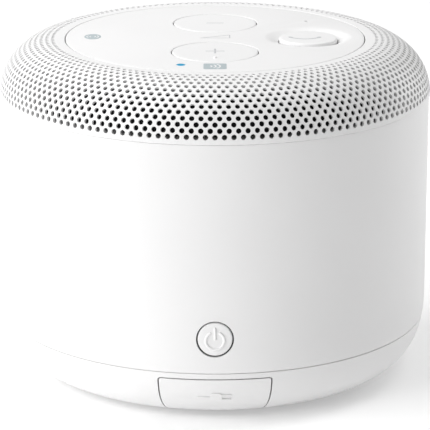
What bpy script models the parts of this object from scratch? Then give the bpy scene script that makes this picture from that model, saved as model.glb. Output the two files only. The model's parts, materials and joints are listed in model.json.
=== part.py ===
"""Round desktop smart speaker, modelled as the separate pieces that it comes apart into.

All lengths below are in millimetres and every mesh is made in metres. The origin is the centre
of the underside, +Z is up and -Y is the front, where the power button and the port door are.
"""

import math

import bmesh
import bpy
from mathutils import Matrix

MM = 0.001
GAP = 0.3

# Overall size
TOTAL_HEIGHT = 67.0
BODY_RADIUS = 42.8
GRILLE_RADIUS = 43.0
PANEL_RADIUS = 29.75
FOOT_HEIGHT = 1.1
BASE_BOTTOM = 0.6

# Seams between the three outer shells
BASE_SEAM = 11.02
GRILLE_SEAM = 56.35

# Lower corner of the outline: a superellipse quarter
CORNER_INNER_RADIUS = 31.0
CORNER_WIDTH = BODY_RADIUS - CORNER_INNER_RADIUS
CORNER_DROP = 15.0
CORNER_POWER = 2.44
CORNER_TOP = BASE_BOTTOM + CORNER_DROP

# Shoulder of the grille: an elliptical quarter arc
SHOULDER_CENTRE_RADIUS = 32.0
SHOULDER_WIDTH = GRILLE_RADIUS - SHOULDER_CENTRE_RADIUS
SHOULDER_RISE = 10.5
SHOULDER_BOTTOM = TOTAL_HEIGHT - SHOULDER_RISE

# Control panel and its buttons
PANEL_THICKNESS = 1.8
PANEL_UNDERSIDE = TOTAL_HEIGHT - PANEL_THICKNESS
VOLUME_OFFSET = 12.8
VOLUME_RADIUS = 8.4
CALL_X = 18.6
CALL_RADIUS = 5.85
DISH_RADIUS = 8.8
DISH_DEPTH = 1.8
CALL_BOSS_BOTTOM = 63.2
LED_PLACE = (-6.5, -23.7)
LED_RADIUS = 0.75
MICROPHONE_PLACE = (18.7, 14.6)
PANEL_SCREW_RADIUS = 25.2
PANEL_SCREW_ANGLES = (50, 130, 230, 310)

# Control board under the panel
BOARD_TOP = 59.6
BOARD_THICKNESS = 1.0
BOARD_RADIUS = 27.4
SWITCH_TOP = 60.6
BUTTON_STEM_BOTTOM = SWITCH_TOP + 0.7

# Power button on the front of the body
POWER_Z = 18.15
POWER_RADIUS = 3.3

# Port door, which swings about a vertical line at its left edge
DOOR_TOP = 9.75
DOOR_THICKNESS = 1.6
DOOR_INNER_Y = -34.5
DOOR_HINGE_X = -10.6
DOOR_HINGE_Y = -40.9
DOOR_SWING_RADIUS = 21.5
BAY_HALF_WIDTH = 10.0
BAY_FLOOR = 3.7
BAY_CEILING = 9.5
BAY_TOP = 10.75
BAY_BACK = -31.0
BAY_WALL = 1.2

# Sockets at the back of the port bay
SOCKET_LEFT = -8.4
SOCKET_RIGHT = -0.8
JACK_PLACE = (5.2, 7.9)
JACK_NOSE_RADIUS = 2.5
JACK_BORE_RADIUS = 1.8
MAIN_BOARD_LOW = 4.3
MAIN_BOARD_TOP = 5.3

# Fasteners on circles about the middle
BASE_SCREW_CIRCLE = 26.5
CHASSIS_SCREW_CIRCLE = 35.6
DRIVER_SCREW_CIRCLE = 23.4
CORNER_ANGLES = (45, 135, 225, 315)

# Leads
LEAD_RADIUS = 0.7
LEAD_STEPS = 3
RIBBON_HALF_WIDTH = 4.0
RIBBON_THICKNESS = 0.3

OUTER_STEPS = 40
INNER_STEPS = 24
SMALL_STEPS = 10


# ---------------------------------------------------------------- materials

def material(name, colour, roughness, metallic=0.0):
    """One Principled material for each kind of stuff."""
    made = bpy.data.materials.get(name) or bpy.data.materials.new(name)
    made.use_nodes = True
    shader = made.node_tree.nodes["Principled BSDF"]
    shader.inputs["Base Color"].default_value = (*colour, 1.0)
    shader.inputs["Roughness"].default_value = roughness
    shader.inputs["Metallic"].default_value = metallic
    made.diffuse_color = (*colour, 1.0)
    return made


def white_plastic():
    return material("white_plastic", (0.86, 0.86, 0.87), 0.38)


def black_plastic():
    return material("black_plastic", (0.03, 0.03, 0.035), 0.5)


def rubber():
    return material("rubber", (0.05, 0.05, 0.055), 0.8)


def steel():
    return material("steel", (0.62, 0.62, 0.64), 0.3, 1.0)


def circuit_board():
    return material("circuit_board", (0.02, 0.16, 0.07), 0.45)


# ---------------------------------------------------------------- building blocks

def add_object(name, bm, stuff=None, pivot=(0, 0, 0), smooth=True):
    """Closes a bmesh into a named object. With no material it is a helper for a Boolean."""
    bmesh.ops.remove_doubles(bm, verts=bm.verts, dist=0.001 * MM)
    bmesh.ops.recalc_face_normals(bm, faces=bm.faces)
    bmesh.ops.translate(bm, verts=bm.verts, vec=[-c * MM for c in pivot])
    mesh = bpy.data.meshes.new(name)
    bm.to_mesh(mesh)
    bm.free()
    if smooth:
        mesh.shade_smooth()
        mesh.set_sharp_from_angle(angle=math.radians(35))
    obj = bpy.data.objects.new(name, mesh)
    obj.location = [c * MM for c in pivot]
    bpy.context.scene.collection.objects.link(obj)
    if stuff is None:
        obj.hide_render = True
        obj.display_type = "WIRE"
    else:
        mesh.materials.append(stuff)
    return obj


def join_flat_ends(bm):
    """Makes one face of each flat end that a spin leaves as a fan of triangles."""
    bmesh.ops.remove_doubles(bm, verts=bm.verts, dist=0.001 * MM)
    middles = [v for v in bm.verts if v.co.xy.length < 0.001 * MM]
    flat = [v for v in middles if all(abs(e.other_vert(v).co.z - v.co.z) < 0.001 * MM for e in v.link_edges)]
    bmesh.ops.dissolve_verts(bm, verts=flat)


def turned(name, profile, stuff=None, at=(0, 0), steps=INNER_STEPS, along_y=False, pivot=(0, 0, 0)):
    """Spins (radius, height) points about an upright axis at a place, or about one along +Y.

    A profile that starts and ends on the axis makes a solid, and any other one is closed to a ring.
    For an axis along +Y the place is (x, z) and the heights are y values.
    """
    bm = bmesh.new()
    verts = [bm.verts.new((radius * MM, 0, height * MM)) for radius, height in profile]
    edges = [bm.edges.new(pair) for pair in zip(verts, verts[1:])]
    if profile[0][0] > 0 or profile[-1][0] > 0:
        edges.append(bm.edges.new((verts[-1], verts[0])))
    bmesh.ops.spin(
        bm, geom=verts + edges, cent=(0, 0, 0), axis=(0, 0, 1),
        angle=math.tau, steps=steps, use_merge=True,
    )
    join_flat_ends(bm)
    if along_y:
        bmesh.ops.rotate(bm, verts=bm.verts, matrix=Matrix.Rotation(-math.pi / 2, 3, "X"))
        shift = (at[0] * MM, 0, at[1] * MM)
    else:
        shift = (at[0] * MM, at[1] * MM, 0)
    bmesh.ops.translate(bm, verts=bm.verts, vec=shift)
    return add_object(name, bm, stuff, pivot)


def disc(name, radius, low, high, stuff=None, **where):
    """A plain cylinder between two heights."""
    return turned(name, [(0, low), (radius, low), (radius, high), (0, high)], stuff, **where)


def ring(name, inner, outer, low, high, stuff=None, **where):
    """A plain tube between two heights."""
    profile = [(inner, low), (outer, low), (outer, high), (inner, high)]
    return turned(name, profile, stuff, **where)


def block(name, low, high, stuff=None, turn=0, pivot=(0, 0, 0)):
    """A box between two corners, then turned about the vertical axis by some degrees."""
    bm = bmesh.new()
    bmesh.ops.create_cube(bm, size=1.0)
    size = [b - a for a, b in zip(low, high)]
    middle = [(a + b) / 2 * MM for a, b in zip(low, high)]
    bmesh.ops.scale(bm, verts=bm.verts, vec=[s * MM for s in size])
    bmesh.ops.translate(bm, verts=bm.verts, vec=middle)
    bmesh.ops.rotate(bm, verts=bm.verts, matrix=Matrix.Rotation(math.radians(turn), 3, "Z"))
    return add_object(name, bm, stuff, pivot, smooth=False)


def prism(name, outline, low, high, stuff=None):
    """Extrudes a flat (x, y) outline between two heights."""
    bm = bmesh.new()
    face = bm.faces.new([bm.verts.new((x * MM, y * MM, low * MM)) for x, y in outline])
    made = bmesh.ops.extrude_face_region(bm, geom=[face])["geom"]
    top = [v for v in made if isinstance(v, bmesh.types.BMVert)]
    bmesh.ops.translate(bm, verts=top, vec=(0, 0, (high - low) * MM))
    return add_object(name, bm, stuff)


def boolean(obj, other, operation):
    modifier = obj.modifiers.new(f"{operation.lower()} {other.name}", "BOOLEAN")
    modifier.operation = operation
    modifier.object = other
    modifier.solver = "EXACT"


def join(obj, *others):
    for other in others:
        boolean(obj, other, "UNION")


def cut(obj, *others):
    for other in others:
        boolean(obj, other, "DIFFERENCE")


def cable(name, route, stuff):
    """A round lead along a smooth curve through its route points."""
    curve = bpy.data.curves.new(name, "CURVE")
    curve.dimensions = "3D"
    curve.bevel_depth = LEAD_RADIUS * MM
    curve.bevel_resolution = 1
    curve.use_fill_caps = True
    points = smooth_points(route, LEAD_STEPS)
    spline = curve.splines.new("POLY")
    spline.points.add(len(points) - 1)
    for point, place in zip(spline.points, points):
        point.co = (*[c * MM for c in place], 1.0)
    curve.materials.append(stuff)
    obj = bpy.data.objects.new(name, curve)
    bpy.context.scene.collection.objects.link(obj)
    return obj


# ---------------------------------------------------------------- geometry

def on_circle(radius, degrees):
    angle = math.radians(degrees)
    return radius * math.cos(angle), radius * math.sin(angle)


def arc(centre, radii, start, end, count):
    """Points on an elliptical arc in the (radius, height) plane, angles in degrees."""
    angles = [math.radians(start + (end - start) * i / count) for i in range(count + 1)]
    return [(centre[0] + radii[0] * math.cos(a), centre[1] + radii[1] * math.sin(a)) for a in angles]


def smooth_points(route, steps):
    """A Catmull-Rom curve through the route's points."""
    padded = [route[0], *route, route[-1]]
    points = []
    for a, b, c, d in zip(padded, padded[1:], padded[2:], padded[3:]):
        for i in range(steps):
            t = i / steps
            points.append(tuple(
                0.5 * (2 * q + (r - p) * t + (2 * p - 5 * q + 4 * r - s) * t**2
                       + (3 * q - p - 3 * r + s) * t**3)
                for p, q, r, s in zip(a, b, c, d)
            ))
    return [*points, route[-1]]


def corner_radius(height, inset=0.0):
    """Radius of the lower outline at a height, on a surface some way inside it."""
    down = max(0.0, CORNER_TOP - height) / (CORNER_DROP - inset)
    share = max(0.0, 1.0 - min(1.0, down) ** CORNER_POWER) ** (1 / CORNER_POWER)
    return CORNER_INNER_RADIUS + (CORNER_WIDTH - inset) * share


def corner_profile(top, inset=0.0, count=9):
    """Points from a height down round the lower corner to where it turns flat."""
    drop, width = CORNER_DROP - inset, CORNER_WIDTH - inset
    start = math.degrees(math.asin(max(0.0, (CORNER_TOP - top) / drop) ** (CORNER_POWER / 2)))
    points = []
    for i in range(count + 1):
        angle = math.radians(start + (90 - start) * i / count)
        across = max(0.0, math.cos(angle)) ** (2 / CORNER_POWER)
        down = max(0.0, math.sin(angle)) ** (2 / CORNER_POWER)
        points.append((CORNER_INNER_RADIUS + width * across, CORNER_TOP - drop * down))
    return points


def door_outline(grow=0.0, count=6):
    """Plan of the door: its sides are arcs about the hinge line, so that it swings clear."""
    back = DOOR_INNER_Y + grow
    radius = DOOR_SWING_RADIUS + grow
    deepest = back - DOOR_HINGE_Y
    right = []
    for i in range(count + 1):
        depth = deepest * (1 - i / count)
        right.append((DOOR_HINGE_X + math.sqrt(radius**2 - depth**2), DOOR_HINGE_Y + depth))
    right.append((right[-1][0], -BODY_RADIUS - 4))
    left = [(-x, y) for x, y in reversed(right)]
    return right + left


# ---------------------------------------------------------------- outer shells

def make_base():
    """Bottom cup with the port bay, the screw posts and the groove for the foot."""
    rim = BASE_SEAM - GAP / 2
    wall = 2.0
    profile = corner_profile(rim, 0, 7)
    profile += [(30.3, BASE_BOTTOM), (30.3, 1.4), (22.7, 1.4), (22.7, BASE_BOTTOM), (0, BASE_BOTTOM)]
    profile += [(0, 3.0), (31.5, 3.0)]
    inside = [p for p in reversed(corner_profile(9.0, wall, 5)) if 3.0 < p[1] < 9.0]
    profile += inside
    profile += [(39.0, 9.0), (39.0, 13.2), (40.3, 13.2), (40.3, rim)]
    base = turned("base_shell", profile, white_plastic(), steps=OUTER_STEPS)

    core_profile = [(0, 1.6), *reversed(corner_profile(BAY_TOP, 1.0, 6)), (0, BAY_TOP)]
    core = turned("bay_limit", core_profile, steps=OUTER_STEPS)
    side = BAY_HALF_WIDTH + 1.9
    bay = block("bay_walls", (-side, -42.2, 2.0), (side, BAY_BACK + BAY_WALL, BAY_TOP))
    boolean(bay, core, "INTERSECT")
    join(base, bay)
    for angle in CORNER_ANGLES:
        place = on_circle(BASE_SCREW_CIRCLE, angle)
        join(base, disc(f"base_post_{angle}", 3.6, 2.0, 6.6, at=place, steps=SMALL_STEPS))
        cut(base, disc(f"base_counterbore_{angle}", 2.7, 0, 4.6, at=place, steps=SMALL_STEPS))
        cut(base, disc(f"base_hole_{angle}", 1.5, 3, 8, at=place, steps=SMALL_STEPS))

    slot = prism("door_slot", door_outline(GAP), -1, DOOR_TOP + GAP)
    inner_profile = [(0, -2), *reversed(corner_profile(20, DOOR_THICKNESS + GAP, 12)), (0, 20)]
    boolean(slot, turned("door_slot_limit", inner_profile, steps=OUTER_STEPS), "DIFFERENCE")
    low, high = (-BAY_HALF_WIDTH, -46, BAY_FLOOR), (BAY_HALF_WIDTH, BAY_BACK, BAY_CEILING)
    hollow = block("bay_hollow", low, high)
    charge_window = block("charge_window", (SOCKET_LEFT - 0.4, -32, 4.9), (SOCKET_RIGHT + 0.4, -29, 8.5))
    window_radius = JACK_NOSE_RADIUS + 0.2
    jack_window = disc("jack_window", window_radius, -32, -29, at=JACK_PLACE, along_y=True, steps=16)
    cut(base, slot, hollow, charge_window, jack_window)


def make_door():
    """Curved flap over the two sockets, following the outline of the base."""
    outer = corner_profile(DOOR_TOP, 0, 10)
    outer = [p for p in outer if p[0] > 33.0]
    inner = [p for p in corner_profile(DOOR_TOP, DOOR_THICKNESS, 10) if p[0] > 33.0]
    hinge = (DOOR_HINGE_X, DOOR_HINGE_Y, 0)
    door = turned("port_door", outer + inner[::-1], white_plastic(), steps=OUTER_STEPS, pivot=hinge)
    boolean(door, prism("door_edge", door_outline(), -1, DOOR_TOP + 1), "INTERSECT")


def make_body():
    """Plain middle wall with a ledge for the baffle and four posts for the chassis."""
    rim = GRILLE_SEAM - GAP / 2
    foot = BASE_SEAM + GAP / 2
    profile = [(BODY_RADIUS, rim), (BODY_RADIUS, CORNER_TOP)]
    profile += [(corner_radius(height), height) for height in (13.5, foot)]
    profile += [(40.6, foot), (40.8, CORNER_TOP), (40.8, 44.0), (38.0, 46.8), (38.0, 48.7)]
    profile += [(40.8, 48.7), (40.8, rim)]
    body = turned("body_shell", profile, white_plastic(), steps=OUTER_STEPS)
    for angle in CORNER_ANGLES:
        place = on_circle(CHASSIS_SCREW_CIRCLE, angle)
        rib = block(f"body_rib_{angle}", (CHASSIS_SCREW_CIRCLE, -1.2, 14.6), (41.6, 1.2, 22), turn=angle)
        join(body, disc(f"body_post_{angle}", 2.6, 14, 22, at=place, steps=SMALL_STEPS), rib)
        cut(body, disc(f"body_hole_{angle}", 1.4, 13, 19.5, at=place, steps=SMALL_STEPS))
    cut(body, disc("power_opening", POWER_RADIUS + GAP, -45, -39, at=(0, POWER_Z), along_y=True, steps=32))


def make_grille():
    """Domed ring over the loudspeaker, with a flange inside that the panel rests on."""
    centre = (SHOULDER_CENTRE_RADIUS, SHOULDER_BOTTOM)
    foot = GRILLE_SEAM + GAP / 2
    sheet = 1.2
    profile = arc(centre, (SHOULDER_WIDTH, SHOULDER_RISE), 0, 90, 8)
    profile += [(PANEL_RADIUS + GAP, TOTAL_HEIGHT), (PANEL_RADIUS + GAP, 64.9), (28.2, 64.9)]
    profile += [(28.2, 63.7), (31.25, 63.7), (31.25, TOTAL_HEIGHT - sheet)]
    profile += arc(centre, (SHOULDER_WIDTH - sheet, SHOULDER_RISE - sheet), 88, 10, 5)
    profile += [(39.3, 57.6), (39.3, 51.4), (40.5, 51.4), (40.5, foot), (GRILLE_RADIUS, foot)]
    turned("grille", profile, white_plastic(), steps=OUTER_STEPS)
    lining = arc(centre, (9.4, 8.9), 80, 18, 5) + arc(centre, (8.9, 8.4), 18, 80, 5)
    turned("acoustic_scrim", lining, material("black_cloth", (0.02, 0.02, 0.02), 0.95))


def make_foot():
    ring("foot_ring", 23.0, 30.0, 0, FOOT_HEIGHT, rubber(), steps=OUTER_STEPS)


# ---------------------------------------------------------------- control panel

def make_panel():
    """Flat disc with three button openings, a dished surround and four screw posts."""
    edge = 0.3
    profile = [(0, PANEL_UNDERSIDE), (PANEL_RADIUS, PANEL_UNDERSIDE), (PANEL_RADIUS, TOTAL_HEIGHT - edge)]
    profile += [(PANEL_RADIUS - edge, TOTAL_HEIGHT), (0, TOTAL_HEIGHT)]
    panel = turned("control_panel", profile, white_plastic(), steps=OUTER_STEPS)
    call = (CALL_X, 0)
    join(panel, disc("call_boss", 9.2, CALL_BOSS_BOTTOM, 66, at=call, steps=32))
    for angle in PANEL_SCREW_ANGLES:
        place = on_circle(PANEL_SCREW_RADIUS, angle)
        join(panel, disc(f"panel_post_{angle}", 2.2, 59.9, 66, at=place, steps=SMALL_STEPS))
        cut(panel, disc(f"panel_hole_{angle}", 1.4, 59, 64.6, at=place, steps=SMALL_STEPS))
    for side in (-1, 1):
        place = (0, side * VOLUME_OFFSET)
        cut(panel, disc(f"volume_opening_{side}", VOLUME_RADIUS + GAP, 62, 70, at=place, steps=INNER_STEPS))
    ball = (DISH_RADIUS**2 + DISH_DEPTH**2) / (2 * DISH_DEPTH)
    floor = TOTAL_HEIGHT - DISH_DEPTH
    dish = [(DISH_RADIUS * i / 6, 0) for i in range(7)]
    dish = [(r, floor + ball - math.sqrt(ball**2 - r**2)) for r, _ in dish]
    cut(panel, turned("call_dish", [*dish, (DISH_RADIUS, 70), (0, 70)], at=call, steps=INNER_STEPS))
    cut(panel, disc("call_opening", CALL_RADIUS + GAP, 62, 70, at=call, steps=32))
    cut(panel, disc("led_opening", LED_RADIUS + GAP, 62, 70, at=LED_PLACE, steps=16))
    cut(panel, disc("microphone_opening", 0.5, 62, 70, at=MICROPHONE_PLACE, steps=12))


def make_button(name, place, radius, flange_radius, flange_low, flange_high):
    """Button cap with a retaining flange and a stem that stops short of its switch."""
    edge = 0.3
    profile = [(0, BUTTON_STEM_BOTTOM), (1.5, BUTTON_STEM_BOTTOM), (1.5, flange_low)]
    profile += [(flange_radius, flange_low), (flange_radius, flange_high), (radius, flange_high)]
    profile += [(radius, TOTAL_HEIGHT - edge), (radius - edge, TOTAL_HEIGHT), (0, TOTAL_HEIGHT)]
    turned(name, profile, white_plastic(), at=place, pivot=(*place, TOTAL_HEIGHT))


def make_panel_buttons():
    make_button("volume_down_button", (0, VOLUME_OFFSET), VOLUME_RADIUS, 9.2, 63.9, 64.8)
    make_button("volume_up_button", (0, -VOLUME_OFFSET), VOLUME_RADIUS, 9.2, 63.9, 64.8)
    make_button("call_button", (CALL_X, 0), CALL_RADIUS, 7.0, 61.9, 62.8)


def make_control_board():
    """Board under the panel with its switches, microphone and status light."""
    low = BOARD_TOP - BOARD_THICKNESS
    board = disc("control_board", BOARD_RADIUS, low, BOARD_TOP, circuit_board(), steps=INNER_STEPS)
    for angle in PANEL_SCREW_ANGLES:
        place = on_circle(PANEL_SCREW_RADIUS, angle)
        cut(board, disc(f"board_hole_{angle}", 1.5, 57, 62, at=place, steps=SMALL_STEPS))
    floor = BOARD_TOP + GAP
    switches = {"volume_down_switch": (0, VOLUME_OFFSET), "volume_up_switch": (0, -VOLUME_OFFSET),
                "call_switch": (CALL_X, 0)}
    for name, (x, y) in switches.items():
        body = block(name, (x - 2.6, y - 2.6, floor), (x + 2.6, y + 2.6, floor + 0.4), steel())
        join(body, disc(f"{name}_dome", 1.9, floor + 0.2, SWITCH_TOP, at=(x, y), steps=SMALL_STEPS))
    x, y = LED_PLACE
    block("led_emitter", (x - 0.8, y - 0.5, floor), (x + 0.8, y + 0.5, floor + 0.6),
          material("led_body", (0.8, 0.75, 0.4), 0.4))
    lens = [(0, 60.9), (LED_RADIUS, 60.9), (LED_RADIUS, 64.0), (1.4, 64.0), (1.4, 64.9)]
    lens += [(LED_RADIUS, 64.9), (LED_RADIUS, TOTAL_HEIGHT), (0, TOTAL_HEIGHT)]
    turned("led_lens", lens, material("blue_lens", (0.0, 0.35, 0.6), 0.2), at=LED_PLACE, steps=16)
    disc("microphone", 2.0, floor, 62.0, steel(), at=MICROPHONE_PLACE, steps=SMALL_STEPS)
    ring("tap_antenna", 12.0, 20.5, low - 0.8, low - GAP, material("copper", (0.72, 0.35, 0.2), 0.35, 1.0))


def make_panel_frame():
    """Ring under the board that clamps the flange of the grille against the panel."""
    top = BOARD_TOP - BOARD_THICKNESS - GAP
    low = top - 1.5
    profile = [(22.0, low), (30.9, low), (30.9, 63.4), (27.9, 63.4), (27.9, top), (22.0, top)]
    frame = turned("panel_frame", profile, black_plastic(), steps=INNER_STEPS)
    head_top = low - GAP
    for number, angle in enumerate(PANEL_SCREW_ANGLES, 1):
        place = on_circle(PANEL_SCREW_RADIUS, angle)
        cut(frame, disc(f"frame_hole_{angle}", 1.5, 50, 60, at=place, steps=SMALL_STEPS))
        add_screw(f"panel_screw_{number}", place, 1.0, 2.0, head_top, 64.2)


def add_screw(name, place, radius, head_radius, head_top, tip):
    """Screw that points up, with its head below, a recessed drive and a bevelled tip."""
    head_low = head_top - 1.5
    profile = [(0, head_low + 0.7), (0.8, head_low + 0.7), (0.8, head_low), (head_radius, head_low)]
    profile += [(head_radius, head_top), (radius, head_top), (radius, tip - 0.6), (0.4, tip), (0, tip)]
    turned(name, profile, steel(), at=place, steps=8)


# ---------------------------------------------------------------- power button

def make_power_button():
    """Round button in the front wall, its side switch and the small upright board."""
    profile = [(0, -42.75), (POWER_RADIUS - 0.3, -42.75), (POWER_RADIUS, -42.45), (POWER_RADIUS, -40.1)]
    profile += [(4.4, -40.1), (4.4, -39.3), (1.2, -39.3), (1.2, -36.9), (0, -36.9)]
    turned("power_button", profile, white_plastic(), at=(0, POWER_Z), along_y=True, steps=32,
           pivot=(0, -BODY_RADIUS, POWER_Z))
    switch = block("power_switch", (-3, -35.6, POWER_Z - 3), (3, -33.8, POWER_Z + 3), black_plastic())
    join(switch, disc("power_dome", 1.6, -36.2, -35, at=(0, POWER_Z), along_y=True, steps=SMALL_STEPS))
    block("power_board", (-6, -33.5, 14), (6, -32.5, 23.3), circuit_board())


# ---------------------------------------------------------------- loudspeaker

def make_baffle():
    """Plate across the body that the driver hangs from."""
    baffle = ring("baffle", 20.6, 40.5, 49.0, 51.0, black_plastic(), steps=INNER_STEPS)
    cut(baffle, block("ribbon_notch", (-4.8, 34.8, 40), (4.8, 36.4, 60)))
    for angle in CORNER_ANGLES:
        place = on_circle(DRIVER_SCREW_CIRCLE, angle)
        cut(baffle, disc(f"baffle_hole_{angle}", 1.2, 48, 50.6, at=place, steps=SMALL_STEPS))


def make_driver():
    """Full-range driver that faces up: basket, magnet system, coil, cone, cap and suspension."""
    profile = [(25.6, 48.7), (25.6, 47.2), (21.2, 47.2), (20.6, 45.0), (16.5, 38.0), (16.5, 36.5)]
    profile += [(9.2, 36.5), (9.2, 37.7), (15.2, 37.7), (15.4, 38.3)]
    profile += [(19.3, 45.2), (20.0, 46.5), (20.0, 48.7)]
    basket = turned("driver_basket", profile, steel())
    for angle in (0, 90, 180, 270):
        window = block(f"basket_window_{angle}", (14.0, -6.5, 39.6), (24.0, 6.5, 44.6), turn=angle)
        cut(basket, window)
    for number, angle in enumerate(CORNER_ANGLES, 1):
        place = on_circle(DRIVER_SCREW_CIRCLE, angle)
        cut(basket, disc(f"basket_hole_{angle}", 1.3, 46, 50, at=place, steps=SMALL_STEPS))
        add_screw(f"driver_screw_{number}", place, 0.9, 1.6, 46.9, 50.3)
    ring("magnet_top_plate", 7.6, 14.5, 34.2, 36.2, steel())
    ring("driver_magnet", 8.4, 15.5, 27.9, 33.9, material("ferrite", (0.08, 0.08, 0.09), 0.6))
    yoke = [(0, 25.4), (14.5, 25.4), (14.5, 27.6), (6.4, 27.6), (6.4, 36.0), (0, 36.0)]
    turned("magnet_yoke", yoke, steel())
    ring("voice_coil", 6.85, 7.25, 31.5, 41.2, material("copper", (0.72, 0.35, 0.2), 0.35, 1.0))
    paper = material("cone_paper", (0.05, 0.05, 0.055), 0.85)
    turned("driver_cone", [(7.6, 40.3), (17.0, 46.9), (17.0, 47.5), (7.6, 40.9)], paper)
    cap = arc((0, 42.0), (8.4, 2.6), 0, 90, 3) + arc((0, 42.0), (7.8, 2.0), 90, 0, 3)
    turned("dust_cap", cap, paper)
    roll = arc((18.45, 47.0), (1.1, 1.1), 0, 180, 4) + arc((18.45, 47.0), (0.65, 0.65), 180, 0, 4)
    turned("driver_surround", roll, rubber())
    waves = [(7.8 + 1.4 * i, 38.2 + 0.3 * (i % 2)) for i in range(6)]
    spider = waves + [(r, z + 0.4) for r, z in reversed(waves)]
    turned("driver_spider", spider, material("spider_cloth", (0.75, 0.55, 0.25), 0.9))


# ---------------------------------------------------------------- inside the body

def make_chassis():
    """Tray on four posts that carries the battery and ties the base to the body."""
    chassis = disc("chassis", 38.5, 12.2, 13.7, black_plastic(), steps=INNER_STEPS)
    for number, angle in enumerate(CORNER_ANGLES, 1):
        place = on_circle(BASE_SCREW_CIRCLE, angle)
        join(chassis, disc(f"chassis_post_{angle}", 2.6, 6.9, 13, at=place, steps=SMALL_STEPS))
        cut(chassis, disc(f"chassis_bore_{angle}", 1.5, 6, 11.9, at=place, steps=SMALL_STEPS))
        add_screw(f"base_screw_{number}", place, 1.1, 2.3, 4.2, 11.4)
        place = on_circle(CHASSIS_SCREW_CIRCLE, angle)
        cut(chassis, disc(f"chassis_hole_{angle}", 1.4, 10, 15, at=place, steps=SMALL_STEPS))
        add_screw(f"chassis_screw_{number}", place, 1.0, 2.0, 11.9, 19.0)
    fence = block("battery_fence", (-24.6, -16.6, 13.2), (24.6, 16.6, 16.7))
    cut(fence, block("battery_pocket", (-23.4, -15.4, 13), (23.4, 15.4, 18)))
    stand = block("power_stand", (-6.5, -32.2, 13.2), (6.5, -31.0, 21))
    join(chassis, fence, stand)
    for x in (-30, 30):
        cut(chassis, disc(f"lead_hole_{x}", 1.8, 10, 16, at=(x, 0), steps=SMALL_STEPS))
    cut(chassis, block("ribbon_slot", (-4.8, 34.6, 10), (4.8, 36.4, 16)))


def make_battery():
    wrap = material("battery_wrap", (0.10, 0.25, 0.55), 0.45)
    pack = block("battery_pack", (-23, -15, 14), (23, 15, 22.5), wrap)
    bevel = pack.modifiers.new("rounded edges", "BEVEL")
    bevel.width = 1.5 * MM
    bevel.segments = 2


def make_main_board():
    """Board in the base with the two sockets and the main chips."""
    board = disc("main_board", 30.2, MAIN_BOARD_LOW, MAIN_BOARD_TOP, circuit_board(), steps=INNER_STEPS)
    cut(board, block("board_front", (-40, -45, 0), (40, -29.2, 10)))
    for angle in CORNER_ANGLES:
        place = on_circle(BASE_SCREW_CIRCLE, angle)
        cut(board, disc(f"main_board_hole_{angle}", 4.0, 0, 10, at=place, steps=SMALL_STEPS))
    floor = MAIN_BOARD_TOP + GAP
    chip = black_plastic()
    block("processor_chip", (-13, 2, floor), (-4, 11, floor + 1.2), chip)
    block("amplifier_chip", (5, -9, floor), (11, -3, floor + 1.0), chip)
    block("radio_module", (1, 5, floor), (14, 14, floor + 1.8), steel())
    height = 2.6
    wall = 0.5
    shell_low, shell_high = (SOCKET_LEFT, -31.5, floor), (SOCKET_RIGHT, -25.5, floor + height)
    socket = block("charge_socket", shell_low, shell_high, steel())
    mouth_low = (SOCKET_LEFT + wall, -34, floor + wall)
    mouth_high = (SOCKET_RIGHT - wall, -26.5, floor + height - wall)
    cut(socket, block("socket_mouth", mouth_low, mouth_high))
    join(socket, block("socket_tongue", (-6.6, -30.8, floor + 0.8), (-2.6, -26, floor + 1.2)))
    jack = block("audio_jack", (2.0, -29.2, floor), (8.4, -19, floor + 4.6), chip)
    join(jack, disc("jack_nose", JACK_NOSE_RADIUS, -31.6, -28, at=JACK_PLACE, along_y=True, steps=16))
    cut(jack, disc("jack_bore", JACK_BORE_RADIUS, -33, -20, at=JACK_PLACE, along_y=True, steps=16))


def make_leads():
    """Leads from the battery and the driver down to the main board."""
    red = material("lead_cover", (0.55, 0.03, 0.03), 0.5)
    battery_route = [(24.2, 0, 19), (27, 0, 19), (29.5, 0, 17), (30, 0, 13), (29, 0, 8), (26.5, 0, 6)]
    cable("battery_lead", battery_route, red)
    driver_route = [(-17.2, 0, 37.4), (-22, 0, 36), (-28, 0, 28), (-30, 0, 18)]
    driver_route += [(-30, 0, 13), (-28.5, 0, 8), (-26, 0, 6)]
    cable("driver_lead", driver_route, red)


def make_ribbon():
    """Flat ribbon from the control board, down the back wall, to the main board."""
    top = BOARD_TOP - BOARD_THICKNESS - GAP
    route = [(5, top), (5, 56), (6.5, 54.8), (32, 54.8), (35, 52.5), (35.5, 48)]
    route += [(35.5, 10), (33, 7.5), (28, 6.2), (24, 5.9)]
    half = RIBBON_HALF_WIDTH
    edges = ((-half, 1), (half, 1), (half, -1), (-half, -1))
    bm = bmesh.new()
    spans = []
    for before, here, after in zip([route[0], *route], route, [*route[1:], route[-1]]):
        along = math.atan2(after[1] - before[1], after[0] - before[0])
        back = -math.sin(along) * RIBBON_THICKNESS / 2
        up = math.cos(along) * RIBBON_THICKNESS / 2
        span = []
        for x, side in edges:
            corner = (x * MM, (here[0] + side * back) * MM, (here[1] + side * up) * MM)
            span.append(bm.verts.new(corner))
        spans.append(span)
    for one, two in zip(spans, spans[1:]):
        for i in range(4):
            bm.faces.new((one[i], one[(i + 1) % 4], two[(i + 1) % 4], two[i]))
    bm.faces.new(spans[0])
    bm.faces.new(spans[-1])
    add_object("ribbon_cable", bm, material("ribbon_film", (0.75, 0.5, 0.15), 0.4), smooth=False)


def main():
    for obj in list(bpy.data.objects):
        bpy.data.objects.remove(obj)
    make_foot()
    make_base()
    make_door()
    make_body()
    make_grille()
    make_panel()
    make_panel_buttons()
    make_control_board()
    make_panel_frame()
    make_power_button()
    make_baffle()
    make_driver()
    make_chassis()
    make_battery()
    make_main_board()
    make_leads()
    make_ribbon()


main()
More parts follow.
